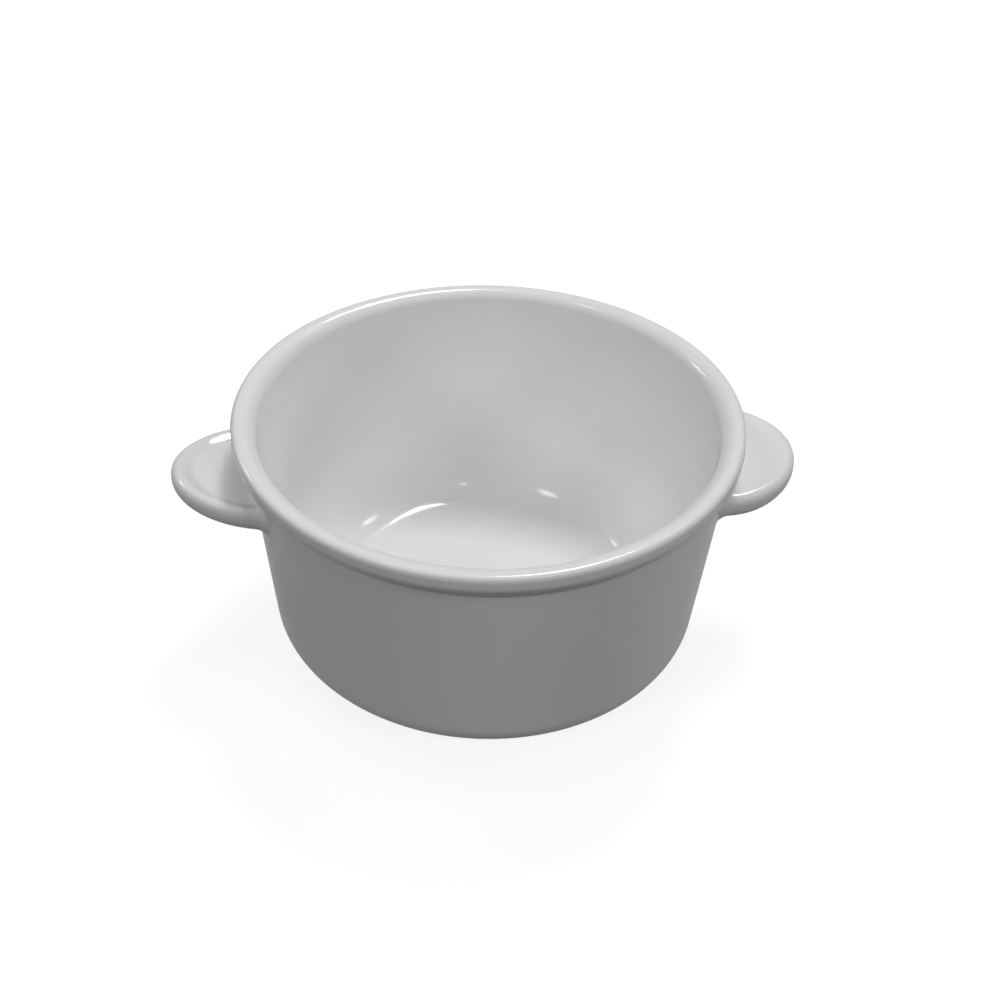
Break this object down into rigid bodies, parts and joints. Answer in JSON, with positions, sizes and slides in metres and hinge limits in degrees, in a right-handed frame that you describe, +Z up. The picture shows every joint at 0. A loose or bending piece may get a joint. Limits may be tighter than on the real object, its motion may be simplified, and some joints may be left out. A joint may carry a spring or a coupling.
{
  "type": "cazuela",
  "caption": "Deep round ceramic cazuela with a tapered wall, rolled rim, shallow foot ring and opposed flat lug handles, for baking and serving a single portion.",
  "frame": {"origin": "centre of the foot ring, on the surface that the dish stands on", "axes": "+Z up along the bowl's axis, +X through the right lug handle"},
  "size_m": [0.1622, 0.13, 0.0643],
  "materials": {
    "bowl_glaze": "gloss white glaze",
    "lug_glaze": "gloss white glaze",
    "slip_glaze": "gloss white glaze over wiped slip"
  },
  "bodies": {
    "root": {"bowl_body": "bowl_glaze", "lug_handle_left": "lug_glaze", "lug_handle_right": "lug_glaze", "slip_seam_left": "slip_glaze", "slip_seam_right": "slip_glaze"}
  },
  "joints": []
}
